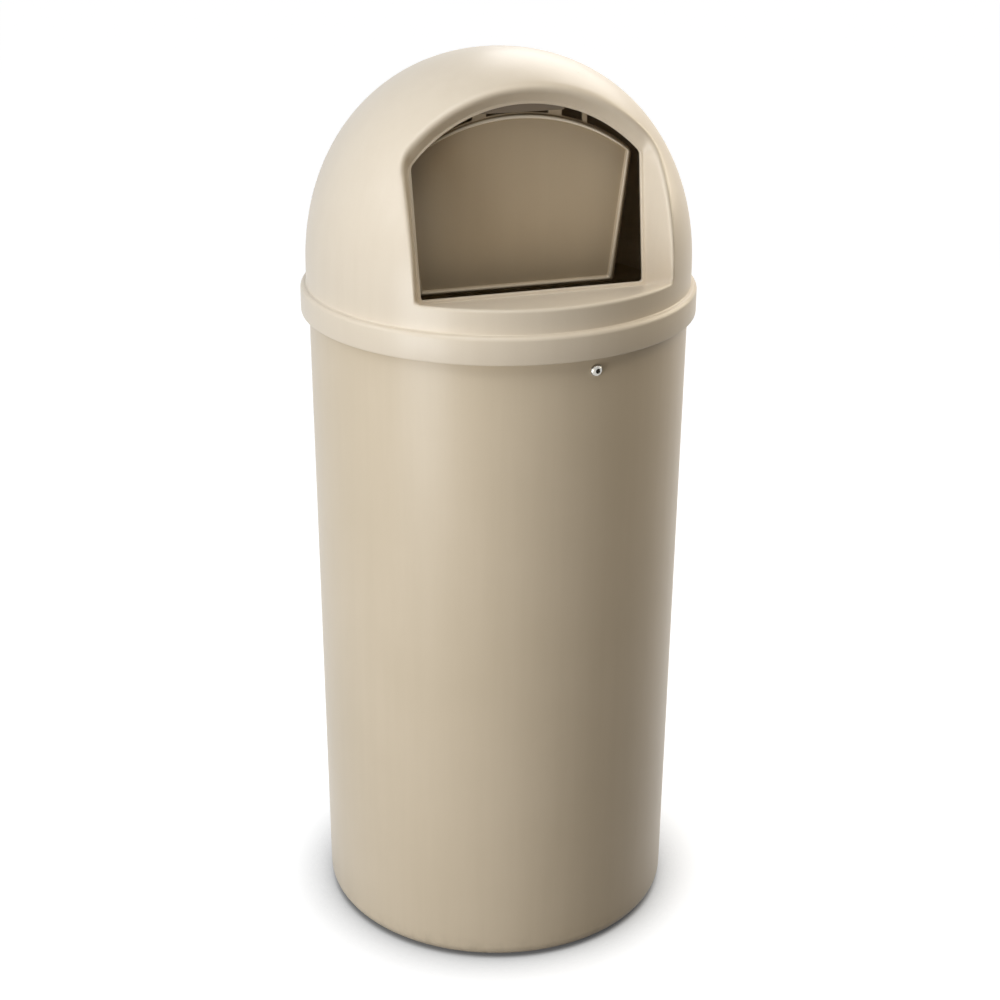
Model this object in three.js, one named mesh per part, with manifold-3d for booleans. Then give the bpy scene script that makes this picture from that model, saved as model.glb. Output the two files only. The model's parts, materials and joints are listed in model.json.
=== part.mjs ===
// Dome top waste receptacle: a tapered round bin with a lift-off domed lid and an inward-swinging push door.
// Millimetres, +Z up, the front (the door) faces -Y, origin at the centre of the foot ring on the floor.

import * as THREE from "three";
import { mergeVertices } from "three/addons/utils/BufferGeometryUtils.js";
import Module from "manifold-3d";

const wasm = await Module();
wasm.setup();

// ---------------------------------------------------------------- driving dimensions

const HEIGHT = 1063; // floor to the top of the dome
const SKIRT_R = 230.5; // outer radius of the lid's skirt, the widest part
const GAP = 0.3; // left between pieces that touch

// Bin body
const BASE_R = 215; // outer radius of the wall, carried down to the floor
const WALL_R = 221; // outer radius of the wall at the skirt's lower edge
const WALL = 4; // moulded wall
const FOOT_ROUND = 18; // rounding of the lower edge
const FOOT_RING = 14; // width of the ring that the bin stands on
const BASE_RISE = 8; // how far the middle of the base is raised
const RIM_ROLL = 8.5; // height of the rolled rim
const RIM_ROUND = 2.5;
const BODY_STEPS = 64;

// Lid
const SKIRT_Z = 767.3; // lower edge of the skirt
const SKIRT_WALL = 4;
const SKIRT_EDGE = 1.2; // chamfer of the lower edge
const LEDGE_Z = 799; // top of the ledge between skirt and dome
const LEDGE_ROUND = 5;
const LEDGE_WALL = 4.2;
const DOME_R = 223.7; // radius of the dome where it starts to close in
const DOME_Z = 818.7; // height where it starts to close in
const DOME_POWER = 2.11; // superellipse exponent of the dome's section
const DOME_WALL = 4.2;
const SPIGOT_R = 216.6; // outer radius of the ring that drops inside the body's rim
const SPIGOT_WALL = 3.6;
const SPIGOT_Z = 775;
const LID_STEPS = 72;

// Recess and opening in the dome
const LEAN = 0.1843; // the opening leans back: mm of y for each mm of z
const OPENING_Y = -99.3; // where the opening's plane is at OPENING_TOP_Z
const OPENING_TOP_Z = 959; // where the sides meet the arch
const OPENING_SILL_Z = 817.5;
const OPENING_PEAK_Z = 1017.5;
const OPENING_TOP_X = 132.2; // half widths
const OPENING_SILL_X = 129.5;
const RECESS_X = 148; // the recess's outer edge, on the dome
const RECESS_TOP_Z = 968.5;
const RECESS_SILL_Z = 828;
const RECESS_PEAK_Z = 1038;
const FUNNEL_WALL = 3.6;
const LIP = 5; // straight lip behind the opening's plane
const EDGE_EASE = 6; // width of the eased edge on each side of the recess's outer edge

// Steps in half an arched outline
const ARCH_STEPS = 10;
const SIDE_STEPS = 6;
const CORNER_STEPS = 4;
const SILL_STEPS = 6;

// Hinge
const HINGE_Y = -56;
const HINGE_Z = 1018;
const ROD_R = 3;
const ROD_X = 88; // half length
const CLIP_R = 5.2;
const CLIP_X = [85, 91];
const INNER_KNUCKLE = [36, 50]; // distances from the middle
const OUTER_KNUCKLE = [76, 82];
const KNUCKLE_R = 7;
const BUSH_R = 4.6;
const FLANGE_R = 6.4;
const FLANGE = 1.4; // thickness
const LUG = [54.5, 71.5]; // the dome's lugs that carry the rod
const LUG_R = 8;

// Door
const DOOR_FRONT_Y = -63; // front face of the plate
const DOOR_PLATE = 3;
const BEAD_TOP_X = 129; // centre line of the raised bead
const BEAD_TOP_Z = 944.6;
const BEAD_SILL_X = 114;
const BEAD_SILL_Z = 807.4;
const BEAD_PEAK_Z = 1002.4;
const BEAD_HALF = 2.2;
const BEAD_RISE = 4;
const DOOR_MARGIN = 7; // plate outside the bead's centre line
const DOOR_ROUND = 3; // lower corners
const SPRING_WINDOW_Z = 1006.5; // plate's top edge between the inner knuckles
const NOTCH = [52, 75]; // notches that clear the lugs
const NOTCH_Z = 994;

// Stop rib that hangs from the dome in front of the door's top, and its pads
const RIB_FRONT_Y = -72;
const RIB_WALL = 2.6;
const RIB_X = 51.5;
const RIB_Z = 1005.5;
const PAD_R = 4;
const PAD_X = 43;
const PAD_Z = 1011;

// Torsion springs round the rod
const WIRE_R = 0.9;
const COIL_R = 5.5; // to the middle of the wire
const COIL_TURNS = 7;
const COIL_PITCH = 2.6;
const CURL_STEPS = 8;
const WIRE_SIDES = 5;
const LEG_RISE = 14; // height of the leg above the rod
const BEND = 2.5; // radius of the leg's bend

// Lid screws: the front one is seen just right of the middle
const SCREW_TURN = 10.4; // degrees from the front
const SCREW_Z = 751.7;
const SCREW_R = 4;
const SCREW_TIP = 201.5; // distance from the bin's axis
const HEAD_R = 7;
const HEAD_RISE = 4.4;
const SOCKET_R = 2.9;
const SOCKET_DEPTH = 2.6;
const HOLE_R = 4.5;
const TAB_Z = 738; // lower edge of the lid's slotted tabs
const TAB_WIDTH = 46;
const TAB_WALL = 3.3;
const WASHER_R = 8;
const WASHER_WALL = 1.6;
const NUT_R = 7.5; // across corners, halved
const NUT_WALL = 6.5;

// ---------------------------------------------------------------- materials

const finish = (color, roughness, metalness = 0) =>
  new THREE.MeshStandardMaterial({ color, roughness, metalness });

const beigePlastic = () => finish(0xd9cfba, 0.5);
const doorPlastic = () => finish(0xcfc3ab, 0.5);
const plated = () => finish(0xc8c8c6, 0.3, 1);
const springSteel = () => finish(0x8f9094, 0.35, 1);
const nylon = () => finish(0xe8e6df, 0.45);
const blackRubber = () => finish(0x1d1d1d, 0.85);

// ---------------------------------------------------------------- making solids

// A closed geometry becomes a solid that can be joined and cut.
function solid(geometry) {
  const bare = geometry.clone();
  bare.deleteAttribute("normal");
  bare.deleteAttribute("uv");
  const merged = mergeVertices(bare, 1e-4);
  const index = merged.index.array;
  const triangles = [];
  for (let i = 0; i < index.length; i += 3) {
    const [a, b, c] = [index[i], index[i + 1], index[i + 2]];
    if (a !== b && b !== c && c !== a) triangles.push(a, b, c);
  }
  return new wasm.Manifold(
    new wasm.Mesh({
      numProp: 3,
      vertProperties: new Float32Array(merged.attributes.position.array),
      triVerts: new Uint32Array(triangles),
    }),
  );
}

function geometryOf(made) {
  const mesh = made.getMesh();
  const points = new Float32Array(mesh.numVert * 3);
  for (let i = 0; i < mesh.numVert; i++) {
    points.set(mesh.vertProperties.subarray(i * mesh.numProp, i * mesh.numProp + 3), i * 3);
  }
  const geometry = new THREE.BufferGeometry();
  geometry.setAttribute("position", new THREE.BufferAttribute(points, 3));
  geometry.setIndex(new THREE.BufferAttribute(new Uint32Array(mesh.triVerts), 1));
  geometry.computeVertexNormals();
  return geometry;
}

function piece(name, shape, material) {
  const geometry = shape.isBufferGeometry ? shape : geometryOf(shape);
  const mesh = new THREE.Mesh(geometry, material);
  mesh.name = name;
  return mesh;
}

const joined = (first, others) => others.reduce((sum, next) => sum.add(next), first);
const cut = (first, others) => others.reduce((rest, next) => rest.subtract(next), first);

// Revolves a section of [radius, height] points, counterclockwise, about the Z axis.
function revolve(section, steps) {
  const points = section.map(([r, z]) => new THREE.Vector2(r, z));
  return new THREE.LatheGeometry(points, steps).rotateX(Math.PI / 2);
}

// Points on an arc in the (radius, height) plane, between two angles in degrees.
function arc(centreR, centreZ, radius, from, to, steps) {
  return Array.from({ length: steps + 1 }, (_, i) => {
    const angle = THREE.MathUtils.degToRad(from + ((to - from) * i) / steps);
    return [centreR + radius * Math.cos(angle), centreZ + radius * Math.sin(angle)];
  });
}

function block(x, y, z) {
  const [size, middle] = [
    [x[1] - x[0], y[1] - y[0], z[1] - z[0]],
    [(x[0] + x[1]) / 2, (y[0] + y[1]) / 2, (z[0] + z[1]) / 2],
  ];
  return solid(new THREE.BoxGeometry(...size).translate(...middle));
}

// A span of x on the left (-1) or right (+1) side, from the distances of its ends from the middle.
const sideSpan = (side, [from, to]) => (side > 0 ? [from, to] : [-to, -from]);

// A round bar on the hinge's axis.
function hingeBar(radius, [from, to], sides = 20) {
  const bar = new THREE.CylinderGeometry(radius, radius, to - from, sides).rotateZ(Math.PI / 2);
  return solid(bar.translate((from + to) / 2, HINGE_Y, HINGE_Z));
}

// A round or, with 6 sides, hexagonal bar that points to the front, between two distances from the bin's axis.
function frontBar(radius, from, to, sides = 24) {
  const bar = new THREE.CylinderGeometry(radius, radius, to - from, sides);
  return solid(bar.translate(0, -(from + to) / 2, 0));
}

// Triangles between neighbouring rings of equal length; the last ring joins the first when it is a loop.
function skin(ringCount, count, loop) {
  const index = [];
  for (let r = 0; r < ringCount - (loop ? 0 : 1); r++) {
    for (let i = 0; i < count; i++) {
      const [a, b] = [r * count + i, r * count + ((i + 1) % count)];
      const [c, d] = [b, a].map((k) => (k + count) % (ringCount * count));
      index.push(a, b, c, a, c, d);
    }
  }
  return index;
}

function indexed(positions, index) {
  const geometry = new THREE.BufferGeometry();
  geometry.setAttribute("position", new THREE.Float32BufferAttribute(positions, 3));
  geometry.setIndex(index);
  geometry.computeVertexNormals();
  return geometry;
}

// Skins a stack of rings, drawn counterclockwise as seen from the front, from back to front, and closes both ends.
function loft(rings) {
  const count = rings[0].length;
  const index = skin(rings.length, count, false);
  const last = (rings.length - 1) * count;
  const flat = rings[0].map(([x, , z]) => new THREE.Vector2(x, z));
  for (const [a, b, c] of THREE.ShapeUtils.triangulateShape(flat, [])) {
    index.push(a, c, b, last + a, last + b, last + c);
  }
  return solid(indexed(rings.flat(2), index));
}

// A round wire along a list of points, with flat ends.
function wire(path, radius, sides) {
  const across = new THREE.Vector3(0, 1, 0);
  const positions = path.flatMap((point, i) => {
    const before = path[Math.max(i - 1, 0)];
    const after = path[Math.min(i + 1, path.length - 1)];
    const along = after.clone().sub(before).normalize();
    across.addScaledVector(along, -across.dot(along)).normalize();
    const third = along.clone().cross(across);
    return Array.from({ length: sides }, (_, s) => {
      const turn = (2 * Math.PI * s) / sides;
      const rim = point.clone().addScaledVector(across, radius * Math.cos(turn));
      return rim.addScaledVector(third, radius * Math.sin(turn)).toArray();
    }).flat();
  });
  const index = skin(path.length, sides, false);
  const last = (path.length - 1) * sides;
  for (let s = 1; s + 1 < sides; s++) {
    index.push(0, s + 1, s, last, last + s, last + s + 1);
  }
  return indexed(positions, index);
}

// ---------------------------------------------------------------- bin body

const wallRadius = (z) => BASE_R + ((WALL_R - BASE_R) * z) / SKIRT_Z;
const innerRadius = (z) => wallRadius(z) - WALL;

// Raised base, foot ring, rounded lower edge, tapered wall and a rolled rim that the lid's ledge rests on.
function bodySection() {
  const footR = BASE_R - FOOT_ROUND;
  const floorZ = BASE_RISE + WALL;
  const floorRound = FOOT_ROUND - WALL;
  const rimZ = LEDGE_Z - LEDGE_WALL - GAP;
  const rimR = SKIRT_R - SKIRT_WALL - 2 * GAP;
  const neckZ = rimZ - RIM_ROLL;
  return [
    [0, BASE_RISE],
    [footR - FOOT_RING - BASE_RISE, BASE_RISE],
    [footR - FOOT_RING, 0],
    ...arc(footR, FOOT_ROUND, FOOT_ROUND, -90, 0, 6),
    [wallRadius(neckZ) - GAP, neckZ - RIM_ROUND],
    [rimR - RIM_ROUND, neckZ],
    ...arc(rimR - RIM_ROUND, neckZ + RIM_ROUND, RIM_ROUND, -60, 0, 2),
    ...arc(rimR - RIM_ROUND, rimZ - RIM_ROUND, RIM_ROUND, 0, 90, 3),
    [innerRadius(rimZ) + 1, rimZ],
    [innerRadius(rimZ), rimZ - 1],
    ...arc(innerRadius(0) - floorRound, floorZ + floorRound, floorRound, 0, -90, 5),
    [0, floorZ],
  ];
}

// The two lid screws sit opposite each other; each is made at the front and turned to its place.
const screwPlaces = [
  ["front", SCREW_TURN],
  ["rear", SCREW_TURN + 180],
];
const atScrew = (made, turn) => made.rotate([0, 0, turn]).translate([0, 0, SCREW_Z]);

function binBody() {
  const bore = frontBar(HOLE_R, WALL_R - 12, WALL_R + 12);
  const holes = screwPlaces.map(([, turn]) => atScrew(bore, turn));
  return cut(solid(revolve(bodySection(), BODY_STEPS)), holes);
}

// ---------------------------------------------------------------- dome lid

function domeRadius(z) {
  const share = THREE.MathUtils.clamp((z - DOME_Z) / (HEIGHT - DOME_Z), 0, 1);
  return DOME_R * (1 - share ** DOME_POWER) ** (1 / DOME_POWER);
}

// Section of the dome's outside, or of its inside when inset by the wall, from the spring line to the top.
function domeSection(inset, steps) {
  const rise = HEIGHT - inset - DOME_Z;
  const curve = Array.from({ length: steps }, (_, i) => {
    const angle = ((Math.PI / 2) * i) / steps;
    const r = (DOME_R - inset) * Math.cos(angle) ** (2 / DOME_POWER);
    return [r, DOME_Z + rise * Math.sin(angle) ** (2 / DOME_POWER)];
  });
  return [...curve, [0, DOME_Z + rise]];
}

const lidOutside = () => [
  [SKIRT_R - SKIRT_EDGE, SKIRT_Z],
  [SKIRT_R, SKIRT_Z + SKIRT_EDGE],
  ...arc(SKIRT_R - LEDGE_ROUND, LEDGE_Z - LEDGE_ROUND, LEDGE_ROUND, 0, 90, 4),
  [DOME_R + SKIRT_EDGE, LEDGE_Z],
  [DOME_R, LEDGE_Z + SKIRT_EDGE],
  ...domeSection(0, 16),
];

// Inside of the dome, then the spigot that centres the lid, then the pocket for the body's rim.
const lidInside = () => [
  ...domeSection(DOME_WALL, 13).reverse(),
  [DOME_R - DOME_WALL, LEDGE_Z + DOME_WALL],
  [DOME_R - 2 * DOME_WALL, LEDGE_Z],
  [SPIGOT_R - SPIGOT_WALL, LEDGE_Z - DOME_WALL],
  [SPIGOT_R - SPIGOT_WALL, SPIGOT_Z],
  [SPIGOT_R, SPIGOT_Z],
  [SPIGOT_R, LEDGE_Z - LEDGE_WALL],
  [SKIRT_R - SKIRT_WALL, LEDGE_Z - LEDGE_WALL],
  [SKIRT_R - SKIRT_WALL, SKIRT_Z],
];

// An arched, flat-bottomed outline as [x, z] points, counterclockwise from the middle of the sill; round is the
// rounding of its lower corners.
function archedPoints(sillX, sillZ, topX, topZ, peakZ, round = 0) {
  const rise = peakZ - topZ;
  const radius = (topX ** 2 + rise ** 2) / (2 * rise);
  const half = Math.asin(topX / radius);
  const share = round / Math.hypot(topX - sillX, topZ - sillZ);
  const onSide = (t) => [sillX + (topX - sillX) * t, sillZ + (topZ - sillZ) * t];
  const ends = [[sillX - round, sillZ], [sillX, sillZ], onSide(share)].map((p) => new THREE.Vector2(...p));
  const corner = round ? new THREE.QuadraticBezierCurve(...ends).getPoints(CORNER_STEPS) : [];
  const steps = (count, at) => Array.from({ length: count }, (_, i) => at((i + 1) / count));
  const right = [
    [0, sillZ],
    ...steps(SILL_STEPS, (t) => [(sillX - round) * t, sillZ]),
    ...corner.slice(1).map((p) => [p.x, p.y]),
    ...steps(SIDE_STEPS, (t) => onSide(share + (1 - share) * t)),
    ...steps(ARCH_STEPS, (t) => {
      const angle = half * (1 - t);
      return [radius * Math.sin(angle), peakZ - radius + radius * Math.cos(angle)];
    }),
  ];
  const left = right.slice(1, -1).reverse();
  return [...right, ...left.map(([x, z]) => [-x, z])];
}

const openingY = (z) => OPENING_Y + LEAN * (z - OPENING_TOP_Z);
const onDomeY = (x, z) => -Math.sqrt(domeRadius(z) ** 2 - x ** 2);

function openingPoints(grow) {
  const [sillX, topX] = [OPENING_SILL_X + grow, OPENING_TOP_X + grow];
  return archedPoints(sillX, OPENING_SILL_Z - grow, topX, OPENING_TOP_Z, OPENING_PEAK_Z + grow);
}

function recessPoints(grow) {
  const x = RECESS_X + grow;
  return archedPoints(x, RECESS_SILL_Z - grow, x, RECESS_TOP_Z, RECESS_PEAK_Z + grow);
}

// A straight lip behind the leaning opening, a funnel out to an edge that is eased into the dome's surface, and a
// shaft on to the front.
function funnel(grow, lip) {
  const onPlane = ([x, z]) => new THREE.Vector3(x, openingY(z), z);
  const onDome = ([x, z]) => new THREE.Vector3(x, onDomeY(x, z), z);
  const inner = openingPoints(grow).map(onPlane);
  const edge = recessPoints(grow).map(onDome);
  const outer = recessPoints(grow + EDGE_EASE).map(onDome);
  const short = edge.map((p, i) => p.clone().lerp(inner[i], EDGE_EASE / p.distanceTo(inner[i])));
  return loft([
    inner.map(({ x, y, z }) => [x, y + lip, z]),
    inner.map((p) => p.toArray()),
    short.map((p) => p.toArray()),
    outer.map((p) => p.toArray()),
    outer.map(({ x, z }) => [x, -SKIRT_R - LIP, z]),
  ]);
}

// A lug hangs from the dome and carries the rod; its foot is round about the rod.
function hingeLug(side) {
  const span = sideSpan(side, LUG);
  const shank = block(span, [HINGE_Y - LUG_R, HINGE_Y + LUG_R], [HINGE_Z, HEIGHT]);
  return shank.add(hingeBar(LUG_R, span));
}

// The closed door rests against this plate through two pads.
const stopRib = () =>
  block([-RIB_X, RIB_X], [RIB_FRONT_Y, RIB_FRONT_Y + RIB_WALL], [RIB_Z, HEIGHT]);

// A tab below the spigot with a slot that is open at the bottom, so the lid lifts off loosened screws.
function slottedTab(turn) {
  const outerR = innerRadius(TAB_Z) - 2 * GAP;
  const innerR = outerR - TAB_WALL;
  const topZ = SPIGOT_Z + WALL;
  const corners = [[innerR, TAB_Z], [outerR, TAB_Z], [outerR, topZ], [innerR, topZ], [innerR, TAB_Z]];
  const ring = solid(revolve(corners, LID_STEPS));
  const front = block([-TAB_WIDTH / 2, TAB_WIDTH / 2], [-WALL_R, 0], [TAB_Z, topZ]);
  const reach = [innerR - WALL, outerR + WALL];
  const round = frontBar(HOLE_R, ...reach).translate([0, 0, SCREW_Z]);
  const straight = block([-HOLE_R, HOLE_R], [-reach[1], -reach[0]], [TAB_Z - 1, SCREW_Z]);
  return cut(ring.intersect(front), [round, straight]).rotate([0, 0, turn]);
}

function domeLid() {
  const filled = solid(revolve([[0, SKIRT_Z], ...lidOutside()], LID_STEPS));
  const section = [[SKIRT_R - SKIRT_WALL, SKIRT_Z], ...lidOutside(), ...lidInside()];
  const shell = solid(revolve(section, LID_STEPS));
  const hanging = [funnel(FUNNEL_WALL, LIP), stopRib(), hingeLug(-1), hingeLug(1)];
  const inDome = hanging.map((made) => made.intersect(filled));
  const tabs = screwPlaces.map(([, turn]) => slottedTab(turn));
  const whole = joined(shell, [...inDome, ...tabs]);
  return cut(whole, [funnel(0, LIP + GAP), hingeBar(ROD_R + GAP, [-LUG[1] - 1, LUG[1] + 1])]);
}

// ---------------------------------------------------------------- push door

// The door's outline, moved out from the bead's centre line by a margin.
const doorPoints = (margin) =>
  archedPoints(
    BEAD_SILL_X + margin,
    BEAD_SILL_Z - margin,
    BEAD_TOP_X + margin,
    BEAD_TOP_Z,
    BEAD_PEAK_Z + margin,
    DOOR_ROUND + margin / 2,
  );

// The plate, cut for the springs between the inner knuckles and notched for the lugs.
function doorPlate() {
  const outline = doorPoints(DOOR_MARGIN);
  const faces = [DOOR_FRONT_Y + DOOR_PLATE, DOOR_FRONT_Y];
  const plate = loft(faces.map((y) => outline.map(([x, z]) => [x, y, z])));
  const depth = [faces[1] - 1, faces[0] + 1];
  const windowX = INNER_KNUCKLE[0];
  return cut(plate, [
    block([-windowX, windowX], depth, [SPRING_WINDOW_Z, HINGE_Z]),
    block(sideSpan(-1, NOTCH), depth, [NOTCH_Z, HINGE_Z]),
    block(sideSpan(1, NOTCH), depth, [NOTCH_Z, HINGE_Z]),
  ]);
}

// A raised bead with a rounded section runs all round the door's face, rooted in the plate.
function doorBead() {
  const section = [
    [-BEAD_HALF, DOOR_PLATE / 2],
    [BEAD_HALF, DOOR_PLATE / 2],
    [BEAD_HALF, -BEAD_RISE / 2],
    [BEAD_HALF / 2, -BEAD_RISE],
    [-BEAD_HALF / 2, -BEAD_RISE],
    [-BEAD_HALF, -BEAD_RISE / 2],
  ];
  const ring = ([margin, depth]) => doorPoints(margin).map(([x, z]) => [x, DOOR_FRONT_Y + depth, z]);
  const rings = section.map(ring);
  return solid(indexed(rings.flat(2), skin(rings.length, rings[0].length, true)));
}

// A knuckle round the rod on a tab that rises from the plate.
function knuckle(span) {
  const tabZ = [NOTCH_Z - 2 * DOOR_MARGIN, HINGE_Z];
  const tab = block(span, [DOOR_FRONT_Y, DOOR_FRONT_Y + DOOR_PLATE], tabZ);
  return tab.add(hingeBar(KNUCKLE_R, span));
}

const knuckleSpans = () =>
  [-1, 1].flatMap((side) => [sideSpan(side, INNER_KNUCKLE), sideSpan(side, OUTER_KNUCKLE)]);

function doorPanel() {
  const bores = knuckleSpans().map(([from, to]) => hingeBar(BUSH_R + GAP, [from - 1, to + 1]));
  return cut(joined(doorPlate(), [doorBead(), ...knuckleSpans().map(knuckle)]), bores);
}

// ---------------------------------------------------------------- hinge parts

const hingeRod = () => hingeBar(ROD_R, [-ROD_X, ROD_X]);

// A bush fills its knuckle, with a flange on the face that looks at the lug.
function hingeBush(side, [from, to], flangeAt) {
  const flange = flangeAt > from ? [to + GAP, to + GAP + FLANGE] : [from - GAP - FLANGE, from - GAP];
  const sleeve = hingeBar(BUSH_R, sideSpan(side, [Math.min(from, flange[0]), Math.max(to, flange[1])]));
  const bore = hingeBar(ROD_R + GAP, sideSpan(side, [from - 5, to + 5]));
  return sleeve.add(hingeBar(FLANGE_R, sideSpan(side, flange))).subtract(bore);
}

// A push-on cap at the rod's end.
function rodClip(side) {
  const bore = sideSpan(side, [CLIP_X[0] - 1, ROD_X + GAP]);
  return hingeBar(CLIP_R, sideSpan(side, CLIP_X)).subtract(hingeBar(ROD_R + GAP, bore));
}

// A pad with a rounded front, between the stop rib and the door.
function stopPad(side) {
  const back = RIB_FRONT_Y + RIB_WALL + GAP;
  const length = DOOR_FRONT_Y - GAP - back;
  const section = [[0, 0], [PAD_R - 0.5, 0], [PAD_R, 0.5], ...arc(PAD_R - 1.5, length - 1.5, 1.5, 0, 90, 3)];
  const pad = new THREE.LatheGeometry([...section, [0, length]].map((p) => new THREE.Vector2(...p)), 20);
  return solid(pad).translate([side * PAD_X, back, PAD_Z]);
}

// The wire meets the inner knuckle square, winds round the rod, rises and ends square behind the stop rib.
function springPath(side) {
  const start = INNER_KNUCKLE[0] - GAP;
  const coilX = start - 3 * WIRE_R;
  const coil = (turns) => {
    const angle = Math.PI - 2 * Math.PI * turns;
    const x = coilX - COIL_PITCH * turns;
    return [x, HINGE_Y + COIL_R * Math.cos(angle), HINGE_Z + COIL_R * Math.sin(angle)];
  };
  const steps = COIL_TURNS * CURL_STEPS;
  const curls = Array.from({ length: steps + 1 }, (_, i) => coil(i / CURL_STEPS));
  const [legX, legY] = curls.at(-1);
  const bendZ = HINGE_Z + LEG_RISE - BEND;
  const bend = [0, 30, 60, 90].map((degrees) => {
    const angle = THREE.MathUtils.degToRad(degrees);
    return [legX, legY - BEND + BEND * Math.cos(angle), bendZ + BEND * Math.sin(angle)];
  });
  const tang = [start, start - 2 * WIRE_R].map((x) => [x, HINGE_Y - COIL_R, HINGE_Z - WIRE_R]);
  const tip = [legX, RIB_FRONT_Y + RIB_WALL + GAP, HINGE_Z + LEG_RISE];
  return [...tang, ...curls, ...bend, tip].map(([x, y, z]) => new THREE.Vector3(side * x, y, z));
}

// Least gap between stretches of the wire that are at least half a curl apart.
function leastGap(path, radius) {
  let least = Infinity;
  path.forEach((p, i) => {
    path.slice(i + CURL_STEPS / 2).forEach((q) => {
      least = Math.min(least, p.distanceTo(q) - 2 * radius);
    });
  });
  return least;
}

function doorSpring(side) {
  const path = springPath(side);
  console.log("spring: least gap to itself " + leastGap(path, WIRE_R).toFixed(2) + " mm");
  return wire(path, WIRE_R, WIRE_SIDES);
}

// ---------------------------------------------------------------- lid screws

const headSeat = wallRadius(SCREW_Z) + GAP;
const tabInner = innerRadius(TAB_Z) - 2 * GAP - TAB_WALL;
const washerSeat = tabInner - 2 * GAP; // the washer's flat face on the tab's round one
const nutSeat = washerSeat - WASHER_WALL - GAP;

// Button head with a hexagonal socket, on a plain shank.
function lidScrew() {
  const dome = arc(HEAD_R - HEAD_RISE, 0, HEAD_RISE, 0, 90, 5);
  const section = [[0, -0.01], ...dome, [0, HEAD_RISE]].map((p) => new THREE.Vector2(...p));
  const head = solid(new THREE.LatheGeometry(section, 28).rotateX(Math.PI));
  const shank = frontBar(SCREW_R, SCREW_TIP, headSeat + 1);
  const faceR = headSeat + HEAD_RISE;
  const socket = frontBar(SOCKET_R, faceR - SOCKET_DEPTH, faceR + 1, 6);
  return cut(head.translate([0, -headSeat, 0]).add(shank), [socket]);
}

const lidWasher = () =>
  cut(frontBar(WASHER_R, washerSeat - WASHER_WALL, washerSeat), [
    frontBar(SCREW_R + GAP, washerSeat - 2 * WASHER_WALL, washerSeat + 1),
  ]);

const lidNut = () =>
  cut(frontBar(NUT_R, nutSeat - NUT_WALL, nutSeat, 6), [
    frontBar(SCREW_R + GAP, nutSeat - NUT_WALL - 1, nutSeat + 1),
  ]);

// ---------------------------------------------------------------- assembly

const root = new THREE.Group();
root.add(piece("bin_body", binBody(), beigePlastic()));
root.add(piece("dome_lid", domeLid(), beigePlastic()));
root.add(piece("door_panel", doorPanel(), doorPlastic()));
root.add(piece("hinge_rod", hingeRod(), plated()));
for (const [word, side] of [["left", -1], ["right", 1]]) {
  root.add(piece(`rod_clip_${word}`, rodClip(side), plated()));
  root.add(piece(`stop_pad_${word}`, stopPad(side), blackRubber()));
  root.add(piece(`door_spring_${word}`, doorSpring(side), springSteel()));
  root.add(piece(`hinge_bush_inner_${word}`, hingeBush(side, INNER_KNUCKLE, LUG[0]), nylon()));
  root.add(piece(`hinge_bush_outer_${word}`, hingeBush(side, OUTER_KNUCKLE, LUG[1]), nylon()));
}
for (const [word, turn] of screwPlaces) {
  root.add(piece(`lid_screw_${word}`, atScrew(lidScrew(), turn), plated()));
  root.add(piece(`lid_washer_${word}`, atScrew(lidWasher(), turn), plated()));
  root.add(piece(`lid_nut_${word}`, atScrew(lidNut(), turn), plated()));
}

export default root;
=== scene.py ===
"""Dome top waste receptacle, dressed for its picture. Metres, +Z up, the door faces -Y.

Every solid of the frame gets a finer skin with its own eased edges, and each piece has a procedural material.
"""

import json
import math

import bpy
import numpy as np
from mathutils import Matrix, Vector

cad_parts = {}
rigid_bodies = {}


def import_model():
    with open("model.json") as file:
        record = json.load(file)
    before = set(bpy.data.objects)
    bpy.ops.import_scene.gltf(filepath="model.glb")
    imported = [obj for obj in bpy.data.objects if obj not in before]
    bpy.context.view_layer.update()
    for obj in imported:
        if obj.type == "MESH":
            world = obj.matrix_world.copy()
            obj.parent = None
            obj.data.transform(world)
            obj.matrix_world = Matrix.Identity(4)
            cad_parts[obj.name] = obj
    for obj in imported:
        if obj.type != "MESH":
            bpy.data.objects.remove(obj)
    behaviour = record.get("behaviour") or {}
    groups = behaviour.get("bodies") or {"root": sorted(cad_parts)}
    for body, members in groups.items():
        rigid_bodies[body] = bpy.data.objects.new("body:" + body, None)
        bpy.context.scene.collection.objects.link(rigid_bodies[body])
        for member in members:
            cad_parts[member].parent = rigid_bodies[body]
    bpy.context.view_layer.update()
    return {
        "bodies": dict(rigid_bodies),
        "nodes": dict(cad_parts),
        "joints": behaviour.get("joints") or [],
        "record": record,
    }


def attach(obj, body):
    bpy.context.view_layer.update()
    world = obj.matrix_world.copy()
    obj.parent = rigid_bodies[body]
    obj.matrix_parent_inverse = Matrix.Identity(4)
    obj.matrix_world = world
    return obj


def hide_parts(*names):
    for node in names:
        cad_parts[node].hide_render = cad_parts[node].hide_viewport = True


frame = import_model()

# ---------------------------------------------------------------- sizes, in metres

HEIGHT = 1.063
SKIRT_R = 0.2305
SKIRT_Z = 0.7673  # lower edge of the lid's skirt
SKIRT_WALL = 0.004
SKIRT_ROUND = 0.0012
LEDGE_Z = 0.799  # top of the ledge between skirt and dome
LEDGE_ROUND = 0.0055
LEDGE_FILLET = 0.0018  # hollow corner where the dome stands on the ledge
LEDGE_WALL = 0.0042

DOME_R = 0.2237
DOME_Z = 0.8187  # where the dome starts to close in
DOME_POWER = 2.113  # superellipse exponent of its section
DOME_WALL = 0.0042
SPIGOT_R = 0.2166  # ring that drops inside the body's rim
SPIGOT_WALL = 0.0036
SPIGOT_Z = 0.775

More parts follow.
